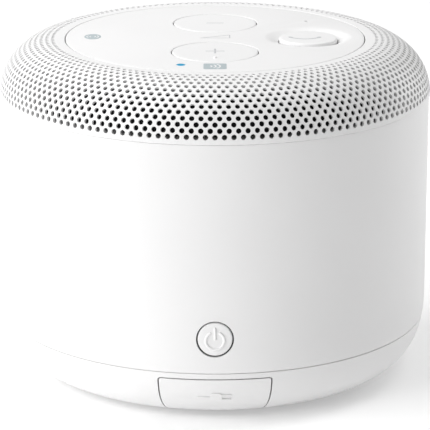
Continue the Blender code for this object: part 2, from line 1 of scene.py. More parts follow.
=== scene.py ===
"""Looks of the round desktop smart speaker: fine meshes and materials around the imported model.

Lengths in this script are in millimetres, and every mesh is made in metres.
"""

import json
import math

import bmesh
import bpy
import numpy as np
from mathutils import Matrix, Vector


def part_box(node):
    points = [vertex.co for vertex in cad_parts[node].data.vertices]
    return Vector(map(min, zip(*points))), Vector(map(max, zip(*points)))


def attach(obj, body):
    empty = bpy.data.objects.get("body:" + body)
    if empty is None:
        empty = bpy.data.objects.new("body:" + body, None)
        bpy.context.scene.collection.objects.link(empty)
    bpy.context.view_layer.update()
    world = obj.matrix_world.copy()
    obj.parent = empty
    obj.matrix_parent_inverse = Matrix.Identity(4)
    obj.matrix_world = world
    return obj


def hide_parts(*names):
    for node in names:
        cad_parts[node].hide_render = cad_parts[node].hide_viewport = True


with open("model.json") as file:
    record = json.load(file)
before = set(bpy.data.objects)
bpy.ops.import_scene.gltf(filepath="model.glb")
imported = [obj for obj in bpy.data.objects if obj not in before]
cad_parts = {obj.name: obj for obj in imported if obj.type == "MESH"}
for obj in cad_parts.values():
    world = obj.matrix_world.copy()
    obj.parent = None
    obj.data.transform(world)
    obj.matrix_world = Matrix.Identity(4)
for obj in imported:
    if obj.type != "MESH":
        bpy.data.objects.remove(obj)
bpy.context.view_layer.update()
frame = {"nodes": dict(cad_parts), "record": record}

MM = 0.001


def node_box(name):
    """Lowest and highest corner of a CAD node, in millimetres."""
    low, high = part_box(name)
    return [c / MM for c in low], [c / MM for c in high]


# Driving sizes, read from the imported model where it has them
TOP = node_box("control_panel")[1][2]
GRILLE_RADIUS = node_box("grille")[1][0]
BODY_RADIUS = node_box("body_shell")[1][0]
BODY_TOP = node_box("body_shell")[1][2]
BODY_FOOT = node_box("body_shell")[0][2]
BASE_BOTTOM = node_box("base_shell")[0][2]
PANEL_RADIUS = node_box("control_panel")[1][0]

# Seams above and below the body wall: a fine gap at each, and the round of its edges
GRILLE_FOOT = BODY_TOP + 0.07
BASE_TOP = BODY_FOOT - 0.1
SEAM_ROUND = 0.12

# Lower corner of the outline: a superellipse quarter
CORNER_INNER = 31.0
CORNER_WIDTH = BODY_RADIUS - CORNER_INNER
CORNER_DROP = 15.0
CORNER_POWER = 2.44
CORNER_TOP = BASE_BOTTOM + CORNER_DROP

# Shoulder of the grille: a sheet on an elliptical quarter arc, then a flat lip round the panel
SHOULDER_INNER = 32.0
SHOULDER_WIDTH = GRILLE_RADIUS - SHOULDER_INNER
SHOULDER_RISE = 10.5
SHOULDER_FOOT = TOP - SHOULDER_RISE
LIP_RADIUS = PANEL_RADIUS + 0.2
SHEET = 0.5
EDGE_ROUND = 0.14

# Inside of the grille: the skirt that goes down into the body, and the flange under the panel
SKIRT_OUTER = 40.5
SKIRT_INNER = 39.3
SKIRT_FOOT = 51.4
SKIRT_TOP = 57.0
FLANGE_INNER = 28.2
FLANGE_OUTER = 31.25
FLANGE_FOOT = 63.7
FLANGE_TOP = 64.9

# Rows of holes, evenly spaced along the arc. A hole takes a share of its cell's width.
HOLES_PER_ROW = 152
HOLE_TURN = math.tau / HOLES_PER_ROW
HOLE_ROWS = 14
FIRST_ROW_ANGLE = 6.73
LAST_ROW_ANGLE = 88.5
HOLE_SHARE = 0.6

# Control panel
VOLUME_OFFSET = 12.8
VOLUME_RADIUS = 8.4
CALL_X = 18.6
CALL_RADIUS = 5.78
DISH_RADIUS = 8.8
DISH_DEPTH = 0.95
LED_PLACE = (-6.5, -23.7)
MICROPHONE_PLACE = (18.7, 14.6)
STEM_RADIUS = 1.5
STEM_FOOT = 61.3
CAP_FLANGE = 0.9
SIGN_LIFT = 0.035
PRINT_LIFT = 0.03

# Power button
POWER_Z = 18.15
POWER_RADIUS = 3.3
GAP = 0.3

# Port door: it turns about a line at its left edge, and its sides come in a little lower down
DOOR_TOP = node_box("port_door")[1][2]
DOOR_THICKNESS = 1.6
DOOR_INNER_Y = -34.5
DOOR_HINGE = (-10.6, -40.9)
DOOR_SWING = 21.35
DOOR_CORNER = 0.45
DOOR_TAPER = 0.9
DOOR_TAPER_DEPTH = 8.0
DOOR_GAP = 0.25

# Bay behind the door: its walls, the hollow in them, and the middles of its two sockets
BAY_TOP = 10.75
BAY_HALF = 11.9
HOLLOW_HALF = 10
HOLLOW_FLOOR = 3.7
HOLLOW_CEILING = 9.4
HOLLOW_BACK = -31
SOCKET_MIDDLE = (-4.6, 6.9)
JACK_PLACE = (5.2, 7.9)

# Rubber foot
FOOT_INNER = 23.0
FOOT_OUTER = 30.0

# Steps round a turned piece, by its size
ROUND_STEPS = 256
MIDDLE_STEPS = 128
BUTTON_STEPS = 96
SMALL_STEPS = 48
FINE_STEPS = 32

# Materials and floor
BROAD_GRAIN = 60.0
ROUGHNESS_SWING = 0.04
WAVE_FACTOR = 20
FLOOR_GLOW = 0.17

# Camera: straight in front of the object, and above it
CAMERA_LENS = 220.4
CAMERA_AWAY = 513
CAMERA_ABOVE_TOP = 117
CAMERA_PITCH = 16.716


# ---------------------------------------------------------------- materials

def noise_into(tree, scale, detail, coordinates):
    """A noise texture at real size, its scale in cycles for each metre."""
    noise = tree.nodes.new("ShaderNodeTexNoise")
    noise.inputs["Scale"].default_value = scale
    noise.inputs["Detail"].default_value = detail
    tree.links.new(coordinates.outputs["Object"], noise.inputs["Vector"])
    return noise


def ramp_from(tree, source, low, high, start=0.3, end=0.7):
    """A colour ramp between two colours, driven by a noise or a pattern."""
    ramp = tree.nodes.new("ShaderNodeValToRGB")
    ramp.color_ramp.elements[0].position = start
    ramp.color_ramp.elements[1].position = end
    ramp.color_ramp.elements[0].color = (*low, 1)
    ramp.color_ramp.elements[1].color = (*high, 1)
    tree.links.new(source, ramp.inputs["Fac"])
    return ramp


def surface(name, colour, roughness, metallic=0.0, vary=0.02, grain=900.0, bump=0.05, depth=0.02,
            coat=0.0, sheen=0.0, specular=0.5):
    """A Principled material whose colour, roughness and fine relief come from noise at real scale.

    vary is the spread of the colour, grain is in cycles for each metre, bump is the strength of the
    relief, and depth is its height in millimetres.
    """
    made = bpy.data.materials.new(name)
    made.use_nodes = True
    tree = made.node_tree
    shader = tree.nodes["Principled BSDF"]
    shader.inputs["Metallic"].default_value = metallic
    shader.inputs["Coat Weight"].default_value = coat
    shader.inputs["Sheen Weight"].default_value = sheen
    shader.inputs["Specular IOR Level"].default_value = specular
    coordinates = tree.nodes.new("ShaderNodeTexCoord")
    broad = noise_into(tree, BROAD_GRAIN, 3.0, coordinates)
    low = tuple(max(0.0, c * (1 - vary)) for c in colour)
    high = tuple(min(1.0, c * (1 + vary)) for c in colour)
    tint = ramp_from(tree, broad.outputs["Fac"], low, high)
    tree.links.new(tint.outputs["Color"], shader.inputs["Base Color"])
    fine = noise_into(tree, grain, 2.0, coordinates)
    spread = tree.nodes.new("ShaderNodeMapRange")
    spread.inputs["To Min"].default_value = roughness - ROUGHNESS_SWING
    spread.inputs["To Max"].default_value = roughness + ROUGHNESS_SWING
    tree.links.new(fine.outputs["Fac"], spread.inputs["Value"])
    tree.links.new(spread.outputs["Result"], shader.inputs["Roughness"])
    relief = tree.nodes.new("ShaderNodeBump")
    relief.inputs["Strength"].default_value = bump
    relief.inputs["Distance"].default_value = depth * MM
    tree.links.new(fine.outputs["Fac"], relief.inputs["Height"])
    tree.links.new(relief.outputs["Normal"], shader.inputs["Normal"])
    return made


def woven(name, colour, pitch, sheen=0.3):
    """Cloth: two crossed wave patterns, whose threads repeat every 2 pi pitches, with their relief."""
    made = surface(name, colour, 0.9, vary=0.2, sheen=sheen, specular=0.2)
    tree = made.node_tree
    shader = tree.nodes["Principled BSDF"]
    coordinates = tree.nodes["Texture Coordinate"]
    threads = []
    for direction in ("X", "Z"):
        wave = tree.nodes.new("ShaderNodeTexWave")
        wave.bands_direction = direction
        wave.inputs["Scale"].default_value = 1 / (pitch * MM * WAVE_FACTOR)
        tree.links.new(coordinates.outputs["Object"], wave.inputs["Vector"])
        threads.append(wave)
    crossed = tree.nodes.new("ShaderNodeMath")
    crossed.operation = "MULTIPLY"
    for socket, wave in zip(crossed.inputs, threads):
        tree.links.new(wave.outputs["Fac"], socket)
    relief = tree.nodes.new("ShaderNodeBump")
    relief.inputs["Distance"].default_value = 0.1 * MM
    tree.links.new(crossed.outputs["Value"], relief.inputs["Height"])
    tree.links.new(relief.outputs["Normal"], shader.inputs["Normal"])
    return made


def lit(name, colour, strength):
    """A lens with light behind it."""
    made = surface(name, colour, 0.35, specular=0.05)
    shader = made.node_tree.nodes["Principled BSDF"]
    shader.inputs["Emission Color"].default_value = (*colour, 1)
    shader.inputs["Emission Strength"].default_value = strength
    return made


WHITE = surface("white_plastic_grain", (0.838, 0.835, 0.835), 0.44,
                vary=0.008, grain=2600, bump=0.12, depth=0.012)
WHITE_CAP = surface("white_cap_grain", (0.847, 0.845, 0.845), 0.40,
                    vary=0.006, grain=3200, bump=0.08, depth=0.010)
BLACK = surface("black_plastic_grain", (0.03, 0.03, 0.034), 0.5,
                vary=0.2, grain=1800, bump=0.3, depth=0.03)
FOOT = surface("foot_rubber_grain", (0.13, 0.13, 0.14), 0.75,
               vary=0.12, grain=1400, bump=0.5, depth=0.06)
STEEL = surface("steel_brushed", (0.62, 0.62, 0.64), 0.3, 1.0,
                vary=0.05, grain=700, bump=0.2, depth=0.01)
PLATED = surface("nickel_plate", (0.75, 0.75, 0.76), 0.18, 1.0,
                 vary=0.03, grain=500, bump=0.1, depth=0.01)
BOARD = surface("solder_mask", (0.02, 0.16, 0.07), 0.4,
                vary=0.25, grain=400, bump=0.3, depth=0.03, coat=0.3)
COPPER = surface("copper_winding", (0.72, 0.35, 0.2), 0.35, 1.0,
                 vary=0.1, grain=1500, bump=0.5, depth=0.05)
FERRITE = surface("ferrite_ground", (0.08, 0.08, 0.09), 0.6,
                  vary=0.2, grain=900, bump=0.5, depth=0.05)
PAPER = surface("pressed_paper", (0.05, 0.05, 0.055), 0.85,
                vary=0.3, grain=1200, bump=0.8, depth=0.08, sheen=0.2)
ROLL = surface("butyl_roll", (0.05, 0.05, 0.055), 0.6, vary=0.15, grain=900, bump=0.3, depth=0.03)
WRAP = surface("shrink_film", (0.10, 0.25, 0.55), 0.3,
               vary=0.1, grain=150, bump=0.4, depth=0.1, coat=0.5)
LEAD = surface("lead_insulation", (0.55, 0.03, 0.03), 0.45,
               vary=0.08, grain=600, bump=0.2, depth=0.02)
FILM = surface("polyimide_film", (0.75, 0.5, 0.15), 0.25,
               vary=0.1, grain=300, bump=0.2, depth=0.02, coat=0.4)
LED_BODY = surface("led_resin", (0.8, 0.75, 0.4), 0.3, vary=0.05)
PRINT = surface("grey_ink", (0.44, 0.50, 0.52), 0.5, vary=0.05, grain=2000, bump=0.1, depth=0.01)
LINE = surface("engraved_line", (0.55, 0.56, 0.57), 0.55,
               vary=0.05, grain=2000, bump=0.1, depth=0.01)
SCRIM = woven("acoustic_weave", (0.006, 0.006, 0.007), 0.25, sheen=0.0)
SPIDER = woven("spider_weave", (0.75, 0.55, 0.25), 0.4)
BLUE = lit("blue_light", (0.0, 0.27, 0.48), 0.22)

BY_SLOT = {
    "white_plastic": WHITE, "foot_rubber": FOOT, "steel": STEEL, "plated_steel": PLATED,
    "black_plastic": BLACK, "circuit_board": BOARD, "copper": COPPER, "ferrite": FERRITE,
    "cone_paper": PAPER, "surround_rubber": ROLL, "spider_cloth": SPIDER, "black_cloth": SCRIM,
    "battery_wrap": WRAP, "blue_lens": BLUE, "led_body": LED_BODY, "lead_cover": LEAD,
    "ribbon_film": FILM, "grey_print": PRINT,
}


def dress_cad_nodes():
    """Every carried-over CAD node takes the procedural material of its slot."""
    for row in frame["record"]["subparts"]:
        mesh = frame["nodes"][row["node"]].data
        mesh.materials.clear()
        mesh.materials.append(BY_SLOT[row["material_slot"]])


# ---------------------------------------------------------------- outline

def arc(centre, radii, start, end, count):
    """Points on an elliptical arc, angles in degrees."""
    angles = np.radians(np.linspace(start, end, count + 1))
    return [(centre[0] + radii[0] * math.cos(a), centre[1] + radii[1] * math.sin(a)) for a in angles]


def corner_profile(top, inset=0.0, count=24):
    """(radius, height) points from a height down round the lower corner to where it turns flat."""
    drop, width = CORNER_DROP - inset, CORNER_WIDTH - inset
    start = math.degrees(math.asin(max(0.0, (CORNER_TOP - top) / drop) ** (CORNER_POWER / 2)))
    points = []
    for angle in np.radians(np.linspace(start, 90, count + 1)):
        across = max(0.0, math.cos(angle)) ** (2 / CORNER_POWER)
        down = max(0.0, math.sin(angle)) ** (2 / CORNER_POWER)
        points.append((CORNER_INNER + width * across, CORNER_TOP - drop * down))
    return points


def corner_radius(height):
    """Radius of the lower outline at a height."""
    down = min(1.0, max(0.0, CORNER_TOP - height) / CORNER_DROP)
    return CORNER_INNER + CORNER_WIDTH * (1.0 - down**CORNER_POWER) ** (1 / CORNER_POWER)


def outline_normals(points):
    """Outward normals of the body's outline at given points, and how far off it the points lie."""
    radius = np.hypot(points[:, 0], points[:, 1])
    across = np.clip(radius - CORNER_INNER, 0, None) / CORNER_WIDTH
    down = np.clip(CORNER_TOP - points[:, 2], 0, None) / CORNER_DROP
    value = (across**CORNER_POWER + down**CORNER_POWER) ** (1 / CORNER_POWER)
    out = across ** (CORNER_POWER - 1) / CORNER_WIDTH
    low = down ** (CORNER_POWER - 1) / CORNER_DROP
    safe = np.maximum(radius, 1e-9)
    normals = np.stack([points[:, 0] / safe * out, points[:, 1] / safe * out, -low], 1)
    normals /= np.maximum(np.linalg.norm(normals, axis=1, keepdims=True), 1e-12)
    return normals, np.abs(value - 1) * CORNER_WIDTH


def door_outline(grow, shrink, count=24):
    """Plan of the door: its sides are arcs about the hinge line, so that it swings clear.

    grow makes room all round it, and shrink brings its sides in.
    """
    past_body = 4
    radius = DOOR_SWING + grow - shrink
    deepest = DOOR_INNER_Y + grow - DOOR_HINGE[1]
    right = []
    for depth in np.linspace(deepest, 0, count + 1):
        right.append((DOOR_HINGE[0] + math.sqrt(radius**2 - depth**2), DOOR_HINGE[1] + depth))
    right.append((right[-1][0], -BODY_RADIUS - past_body))
    return right + [(-x, y) for x, y in reversed(right)]


# ---------------------------------------------------------------- mesh making

def add_mesh(name, points, faces, stuff, sharp=35):
    """A named mesh object from points in millimetres."""
    mesh = bpy.data.meshes.new(name)
    mesh.from_pydata([tuple(c * MM for c in p) for p in points], [], faces)
    mesh.validate()
    bm = bmesh.new()
    bm.from_mesh(mesh)
    bmesh.ops.recalc_face_normals(bm, faces=bm.faces)
    bm.to_mesh(mesh)
    bm.free()
    mesh.shade_smooth()
    mesh.set_sharp_from_angle(angle=math.radians(sharp))
    if stuff is not None:
        mesh.materials.append(stuff)
    obj = bpy.data.objects.new(name, mesh)
    bpy.context.scene.collection.objects.link(obj)
    return obj


def turned(name, profile, stuff=None, at=(0, 0), steps=ROUND_STEPS, along_y=False, sharp=35):
    """Spins (radius, height) points about an axis. Ends on the axis close it as a solid."""
    angles = np.linspace(0, math.tau, steps, endpoint=False)
    points, rings = [], []
    for radius, height in profile:
        if radius < 1e-6:
            rings.append([len(points)] * steps)
            points.append((0, 0, height))
        else:
            rings.append(list(range(len(points), len(points) + steps)))
            points += [(radius * math.cos(a), radius * math.sin(a), height) for a in angles]
    pairs = list(zip(rings, rings[1:]))
    if profile[0][0] > 1e-6 or profile[-1][0] > 1e-6:
        pairs.append((rings[-1], rings[0]))
    faces = []
    for one, two in pairs:
        for i in range(steps):
            j = (i + 1) % steps
            corners = [one[i], one[j], two[j], two[i]]
            face = list(dict.fromkeys(corners))
            if len(face) > 2:
                faces.append(face)
    if along_y:
        points = [(x + at[0], z, -y + at[1]) for x, y, z in points]
    else:
        points = [(x + at[0], y + at[1], z) for x, y, z in points]
    return add_mesh(name, points, faces, stuff, sharp)


def disc(name, radius, low, high, stuff=None, **where):
    """A plain short cylinder, for cutting or joining."""
    return turned(name, [(0, low), (radius, low), (radius, high), (0, high)], stuff, **where)


def block(name, low, high, stuff=None):
    """A box between two opposite corners."""
    corners = [(x, y, z) for z in (low[2], high[2]) for y in (low[1], high[1]) for x in (low[0], high[0])]
    faces = [(0, 2, 3, 1), (4, 5, 7, 6), (0, 1, 5, 4), (2, 6, 7, 3), (0, 4, 6, 2), (1, 3, 7, 5)]
    return add_mesh(name, corners, faces, stuff)


def band(start, count):
    """Quads between the ring of points that starts at an index and the ring after it."""
    faces = []
    for i in range(count):
        j = (i + 1) % count
        faces.append((start + i, start + j, start + count + j, start + count + i))
    return faces


def loft(name, rings, stuff=None, sharp=35):
    """Closed solid through rings of equally many points, with one face across each end."""
    count = len(rings[0])
    points = [point for ring in rings for point in ring]
    last = len(points) - count
    faces = [list(range(count)), list(range(last, last + count))]
    for start in range(0, last, count):
        faces += band(start, count)
    return add_mesh(name, points, faces, stuff, sharp)


def door_block(name, grow):
    """Upright block with the door's plan: narrower lower down, and round at its two top corners."""
    corner = DOOR_CORNER + grow
    corner_foot = DOOR_TOP - DOOR_CORNER
    levels = [(height, 0.0) for height in np.linspace(-1, corner_foot, 12)]
    for angle in np.radians(np.linspace(0, 90, 9)[1:]):
        levels.append((corner_foot + corner * math.sin(angle), corner * (1 - math.cos(angle))))
    rings = []
    for height, round_off in levels:
        taper = DOOR_TAPER * ((DOOR_TOP - height) / DOOR_TAPER_DEPTH) ** 2
        rings.append([(x, y, height) for x, y in door_outline(grow, taper + round_off)])
    return loft(name, rings)


def front_prism(name, outline, front, back, stuff=None, at=(0, 0)):
    """Extrudes a flat (x, z) outline along Y."""
    rings = [[(x + at[0], y, z + at[1]) for x, z in outline] for y in (front, back)]
    return loft(name, rings, stuff)


def combine(obj, operation, *others):
    """Applies Booleans with other meshes, which are then removed."""
    for other in others:
        modifier = obj.modifiers.new(operation, "BOOLEAN")
        modifier.operation = operation
        modifier.object = other
        modifier.solver = "EXACT"
    apply_modifiers(obj)
    for other in others:
        bpy.data.objects.remove(other)
    return obj


def apply_modifiers(obj):
    """Makes the evaluated mesh the object's own."""
    bpy.context.view_layer.update()
    evaluated = obj.evaluated_get(bpy.context.evaluated_depsgraph_get())
    mesh = bpy.data.meshes.new_from_object(evaluated)
    obj.modifiers.clear()
    obj.data = mesh


def smooth(obj, sharp):
    """Smooth shading, with edges sharper than an angle in degrees kept sharp."""
    obj.data.shade_smooth()
    obj.data.set_sharp_from_angle(angle=math.radians(sharp))


def true_normals(obj, normals_of, sharp=35):
    """Gives the corners that lie on a known surface that surface's own normals."""
    most_off, least_facing = 0.05, 0.96
    smooth(obj, sharp)
    mesh = obj.data
    count = len(mesh.loops)
    corner = np.empty(count * 3, np.float32)
    mesh.corner_normals.foreach_get("vector", corner)
    corner = corner.reshape(-1, 3)
    point_of = np.empty(count, np.int32)
    mesh.loops.foreach_get("vertex_index", point_of)
    points = np.empty(len(mesh.vertices) * 3, np.float32)
    mesh.vertices.foreach_get("co", points)
    points = points.reshape(-1, 3)[point_of] / MM
    face_of = np.repeat(np.arange(len(mesh.polygons)), [p.loop_total for p in mesh.polygons])
    face = np.array([p.normal[:] for p in mesh.polygons])[face_of]
    ideal, off = normals_of(points)
    good = (off < most_off) & ((ideal * face).sum(1) > least_facing)
    corner[good] = ideal[good]
    mesh.normals_split_custom_set(corner.tolist())


def place(obj, body, slot, *nodes):
    """Attaches a piece to what it moves with and hides the CAD nodes it stands for; its slot argument is not
    used.
    """
    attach(obj, body)
    if nodes:
        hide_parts(*nodes)
    return obj


# ---------------------------------------------------------------- perforated shoulder

class Shoulder:
    """The outline of the grille as one curve: up the elliptical arc, then in across the flat lip."""

    SAMPLES = 4000

    def __init__(self):
        angles = np.linspace(0, math.pi / 2, self.SAMPLES)
        radius = SHOULDER_INNER + SHOULDER_WIDTH * np.cos(angles)
        height = SHOULDER_FOOT + SHOULDER_RISE * np.sin(angles)
        steps = np.hypot(np.diff(radius), np.diff(height))
        self.angles = angles
        self.lengths = np.concatenate([[0], np.cumsum(steps)])
        self.end = self.lengths[-1]

    def length_at(self, degrees):
        return float(np.interp(math.radians(degrees), self.angles, self.lengths))

    def point(self, length, inset=0.0):
        """Radius and height at a length along the curve, some way in along its normal."""
        angle = np.interp(length, self.lengths, self.angles)
        radius = SHOULDER_INNER + SHOULDER_WIDTH * np.cos(angle) - np.maximum(length - self.end, 0)
        height = SHOULDER_FOOT + SHOULDER_RISE * np.sin(angle)
        out = np.cos(angle) / SHOULDER_WIDTH
        up = np.sin(angle) / SHOULDER_RISE
        size = np.hypot(out, up)
        return radius - inset * out / size, height - inset * up / size


def shoulder_normals(points):
    """Outward normals of the grille's shoulder at given points, and how far off it the points lie."""
    radius = np.maximum(np.hypot(points[:, 0], points[:, 1]), 1e-9)
    out = np.clip(radius - SHOULDER_INNER, 0, None) / SHOULDER_WIDTH
    up = np.clip(points[:, 2] - SHOULDER_FOOT, 0, None) / SHOULDER_RISE
    value = np.hypot(out, up)
    across = points[:, :2] / radius[:, None] * (out / SHOULDER_WIDTH)[:, None]
    normals = np.column_stack([across, up / SHOULDER_RISE])
    normals /= np.maximum(np.linalg.norm(normals, axis=1, keepdims=True), 1e-12)
    return normals, np.abs(value - 1) * SHOULDER_WIDTH


# One cell round a hole: ten points on its edge, bottom middle first, in shares of the cell
CELL_EDGE = [(0, -0.5), (0.5, -0.5), (0.5, -1 / 6), (0.5, 1 / 6), (0.5, 0.5),
             (0, 0.5), (-0.5, 0.5), (-0.5, 1 / 6), (-0.5, -1 / 6), (-0.5, -0.5)]


def hole_rows(shoulder, first, pitch):
    """Points and faces of the sheet with its holes, alternate rows half a pitch round."""
    columns = np.arange(HOLES_PER_ROW)
    edge = np.array(CELL_EDGE)
    sides = len(edge)
    around = np.radians(-90 + 360 / sides * np.arange(sides))
    points, faces = [], []

    def add_ring(theta, length, inset):
        """One ring of points in every column of a row; gives the first index of each."""
        radius, height = shoulder.point(length, inset)
        radius = np.broadcast_to(radius, theta.shape)
        height = np.broadcast_to(height, theta.shape)
        start = sum(len(p) for p in points)
        ring = np.stack([radius * np.cos(theta), radius * np.sin(theta), height], -1)
        points.append(ring.reshape(-1, 3))
        return start + sides * columns

    for row in range(HOLE_ROWS):
        middle = first + row * pitch
        centre = -math.pi / 2 + (columns + 0.5 * (row % 2)) * HOLE_TURN
        radius_here = float(shoulder.point(middle)[0])
        hole = HOLE_SHARE / 2 * radius_here * HOLE_TURN
        cell_theta = centre[:, None] + edge[None, :, 0] * HOLE_TURN
        cell_length = middle + edge[None, :, 1] * pitch
        hole_theta = centre[:, None] + hole * np.cos(around)[None, :] / radius_here
        hole_length = middle + hole * np.sin(around)[None, :]
        rings = [
            add_ring(cell_theta, cell_length, 0.0), add_ring(hole_theta, hole_length, 0.0),
            add_ring(hole_theta, hole_length, SHEET), add_ring(cell_theta, cell_length, SHEET),
        ]
        for one, two in zip(rings, rings[1:]):
            for i in range(sides):
                j = (i + 1) % sides
                faces.append(np.stack([one + i, one + j, two + j, two + i], 1))
    return np.concatenate(points), np.concatenate(faces)


def make_grille():
    """Moulded sheet with rows of real holes, its skirt below them and its flanged lip above."""
    shoulder = Shoulder()
    first = shoulder.length_at(FIRST_ROW_ANGLE)
    pitch = (shoulder.length_at(LAST_ROW_ANGLE) - first) / (HOLE_ROWS - 1)
    points, faces = hole_rows(shoulder, first, pitch)
    rim = grille_rim(shoulder, first - pitch / 2, first + (HOLE_ROWS - 0.5) * pitch)
    half = len(rim) // 2
    steps = 2 * HOLES_PER_ROW
    angles = -math.pi / 2 + np.arange(steps) * HOLE_TURN / 2
    rim_points = [(r * math.cos(a), r * math.sin(a), z) for r, z in rim for a in angles]
    rim_faces = []
    for ring in [*range(half - 1), *range(half, 2 * half - 1)]:
        rim_faces += band(len(points) + ring * steps, steps)
    points = np.concatenate([points, rim_points])
    faces = np.concatenate([faces, rim_faces])
    _, kept, index = np.unique(np.round(points, 4), axis=0, return_index=True, return_inverse=True)
    welded = index.reshape(-1)[faces].tolist()
    grille = add_mesh("perforated_grille", points[kept], welded, WHITE, sharp=40)
    true_normals(grille, shoulder_normals, sharp=40)
    place(grille, "housing", "white_plastic", "grille")


def grille_rim(shoulder, low, high):
    """Two open profiles of equal length: the skirt below the holes and the flanged lip above them."""
    foot = GRILLE_FOOT
    below = [shoulder.point(low), shoulder.point(low * 0.5), (GRILLE_RADIUS, SHOULDER_FOOT + 0.1)]
    below += arc((GRILLE_RADIUS - SEAM_ROUND, foot + SEAM_ROUND), (SEAM_ROUND, SEAM_ROUND), 0, -90, 4)
    below += [(SKIRT_OUTER, foot), (SKIRT_OUTER, SKIRT_FOOT)]
    below += [(SKIRT_INNER, SKIRT_FOOT), (SKIRT_INNER, SKIRT_TOP), shoulder.point(low, SHEET)]
    lip_edge = LIP_RADIUS + EDGE_ROUND
    above = [shoulder.point(high), (lip_edge, TOP)]
    above += arc((lip_edge, TOP - EDGE_ROUND), (EDGE_ROUND, EDGE_ROUND), 90, 180, 5)[1:]
    above += [(LIP_RADIUS, FLANGE_TOP), (FLANGE_INNER, FLANGE_TOP), (FLANGE_INNER, FLANGE_FOOT)]
    above += [(FLANGE_OUTER, FLANGE_FOOT), (FLANGE_OUTER, TOP - SHEET), shoulder.point(high, SHEET)]
    for shorter, longer in ((above, below), (below, above)):
        while len(shorter) < len(longer):
            shorter.insert(1, tuple((np.array(shorter[0]) + np.array(shorter[1])) / 2))
    return [tuple(float(c) for c in p) for p in below + above]


def make_scrim():
    """Black open cloth that lines the inside of the holes."""
    centre = (SHOULDER_INNER, SHOULDER_FOOT)
    outer, inner = (10.4, 9.9), (10.0, 9.5)
    high, low = 80, 12
    lining = arc(centre, outer, high, low, 20) + arc(centre, inner, low, high, 20)
    cloth = turned("scrim_cloth", lining, SCRIM, steps=MIDDLE_STEPS)
    place(cloth, "housing", "black_cloth", "acoustic_scrim")


# ---------------------------------------------------------------- body, base and door

def make_body():
    """Middle wall with small rounds at both seams and the opening for the power button."""
    corner = SEAM_ROUND
    foot_radius = corner_radius(BODY_FOOT)
    bore, ledge_bore = 40.8, 38.0
    ledge_foot, ledge_top = 44.0, 48.7
    profile = arc((BODY_RADIUS - corner, BODY_TOP - corner), (corner, corner), 90, 0, 4)
    profile += [(BODY_RADIUS, height) for height in np.linspace(BODY_TOP - 1, CORNER_TOP, 14)]
    profile += [(corner_radius(z), float(z)) for z in np.linspace(CORNER_TOP, BODY_FOOT + corner, 7)[1:]]
    profile += arc((foot_radius - corner, BODY_FOOT + corner), (corner, corner), -20, -90, 3)
    profile += [(bore - 0.2, BODY_FOOT), (bore, CORNER_TOP), (bore, ledge_foot)]
    profile += [(ledge_bore, ledge_foot + bore - ledge_bore), (ledge_bore, ledge_top)]
    profile += [(bore, ledge_top), (bore, BODY_TOP)]
    body = turned("body_wall", profile, WHITE)
    outside, inside = -46, -38
    opening = disc("power_cut", POWER_RADIUS + GAP, outside, inside, at=(0, POWER_Z), along_y=True,
                   steps=BUTTON_STEPS)
    combine(body, "DIFFERENCE", opening)
    true_normals(body, outline_normals)
    place(body, "housing", "white_plastic", "body_shell")


def base_profile():
    """Wall of the bottom cup: rounded rim, outline, foot groove, shallow dent, and back up inside."""
    corner = SEAM_ROUND
    rim_radius = corner_radius(BASE_TOP)
    groove_top = 1.4
    dent_radius, dent = 12.0, 0.3
    inner_floor, floor_radius, wall = 3.0, 31.5, 2.0
    bore, bore_foot = 39.0, 9.0
    rebate, rebate_foot = 40.3, 13.2
    profile = arc((rim_radius - corner, BASE_TOP - corner), (corner, corner), 90, 10, 4)
    profile += corner_profile(BASE_TOP - 1.2 * corner)
    profile += [(FOOT_OUTER + GAP, BASE_BOTTOM), (FOOT_OUTER + GAP, groove_top)]
    profile += [(FOOT_INNER - GAP, groove_top), (FOOT_INNER - GAP, BASE_BOTTOM)]
    profile += [(dent_radius, BASE_BOTTOM), (dent_radius - 0.2, BASE_BOTTOM + dent)]
    profile += [(0, BASE_BOTTOM + dent)]
    profile += [(0, inner_floor), (floor_radius, inner_floor)]
    profile += [p for p in reversed(corner_profile(bore_foot, wall, 12)) if inner_floor < p[1] < bore_foot]
    return profile + [(bore, bore_foot), (bore, rebate_foot), (rebate, rebate_foot), (rebate, BASE_TOP)]


def bay_walls():
    """Block of the port bay, trimmed to lie inside the outline of the base."""
    front, back = -42.2, -29.8
    trim = [(0, 1.6), *reversed(corner_profile(BAY_TOP, 1.0, 12)), (0, BAY_TOP)]
    core = turned("core", trim, steps=MIDDLE_STEPS)
    bay = block("bay", (-BAY_HALF, front, 2.0), (BAY_HALF, back, BAY_TOP))
    return combine(bay, "INTERSECT", core)


def door_slot():
    """Room for the door: its own plan with a gap, and no deeper than its thickness and a gap."""
    low, high = -2, 20
    slot = door_block("slot", DOOR_GAP)
    inner = [(0, low), *reversed(corner_profile(high, DOOR_THICKNESS + GAP)), (0, high)]
    return combine(slot, "DIFFERENCE", turned("inner", inner, steps=MIDDLE_STEPS))


